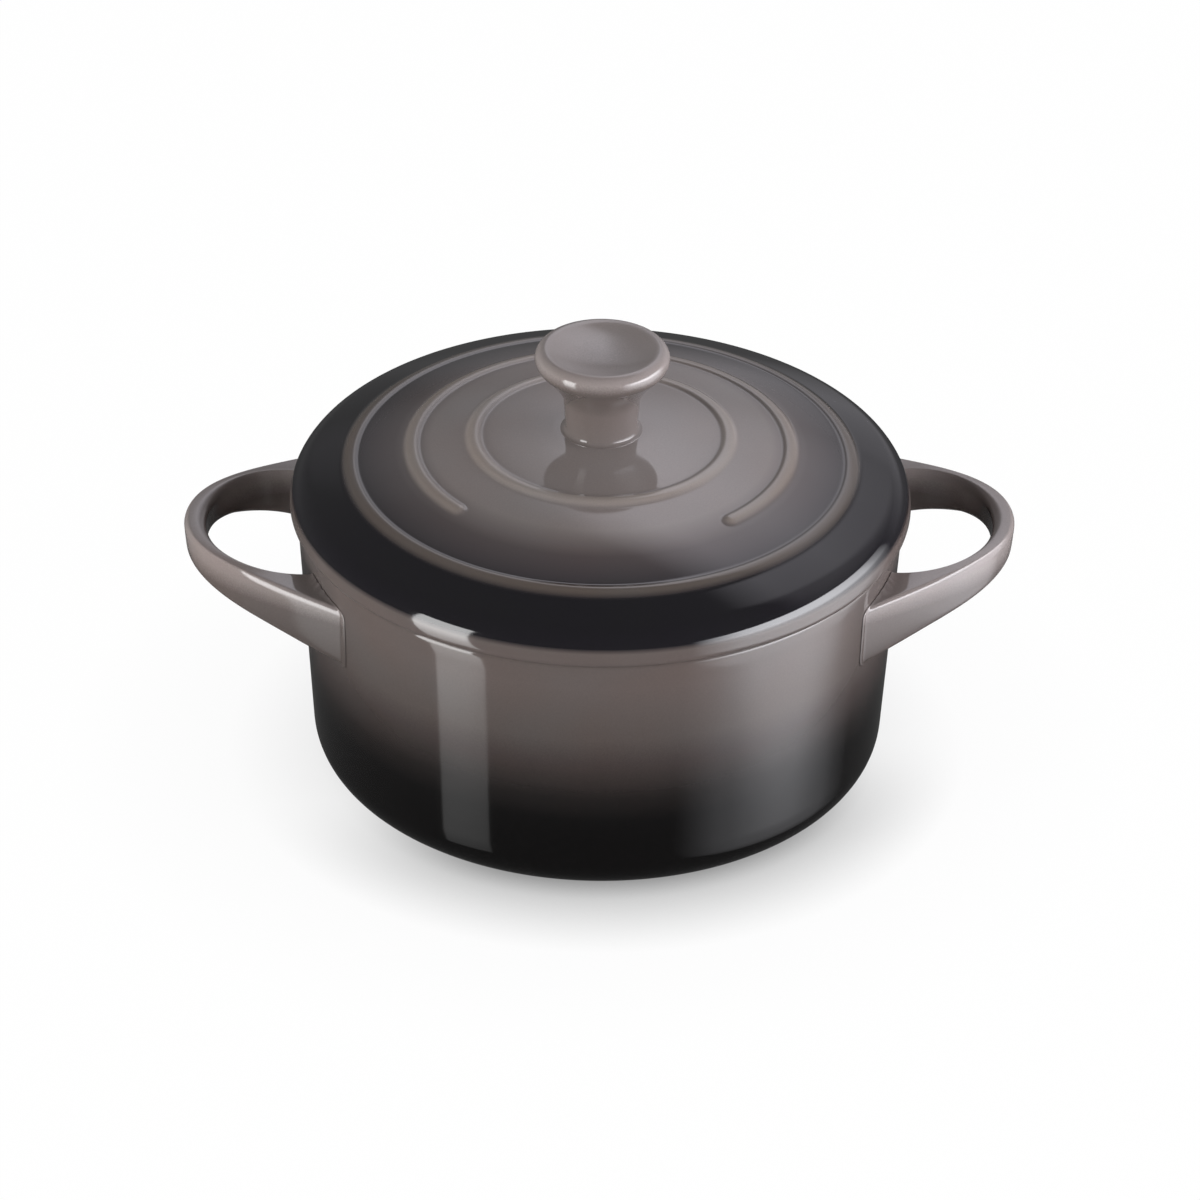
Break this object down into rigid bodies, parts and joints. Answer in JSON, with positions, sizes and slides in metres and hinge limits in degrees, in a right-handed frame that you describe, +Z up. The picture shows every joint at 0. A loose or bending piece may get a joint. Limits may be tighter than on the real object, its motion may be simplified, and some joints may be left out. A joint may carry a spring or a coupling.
{
  "type": "mini cocotte",
  "caption": "Small round stoneware baking pot in a fading dark glaze, with loop side handles and a lift-off domed lid that has raised rings and a dished knob.",
  "frame": {"origin": "on the table, under the middle of the pot", "axes": "+Z up, the handles along X, the bare stretch of the lid's middle ring towards -Y"},
  "size_m": [0.1374, 0.1024, 0.0762],
  "materials": {
    "pot_glaze": "gloss, taupe grey at the rim fading to near black at the foot",
    "handle_glaze": "gloss, taupe grey",
    "lid_glaze": "gloss, near black at the brim fading to taupe grey in the middle",
    "knob_glaze": "gloss, taupe grey"
  },
  "bodies": {
    "pot_body": {"pot": "pot_glaze", "handle_right": "handle_glaze", "handle_left": "handle_glaze"},
    "lid_body": {"lid": "lid_glaze", "knob": "knob_glaze"}
  },
  "joints": [
    {"name": "lid_lift", "type": "slide", "parent": "pot_body", "child": "lid_body", "axis": [0, 0, 1], "range_m": [0, 0.08]}
  ]
}
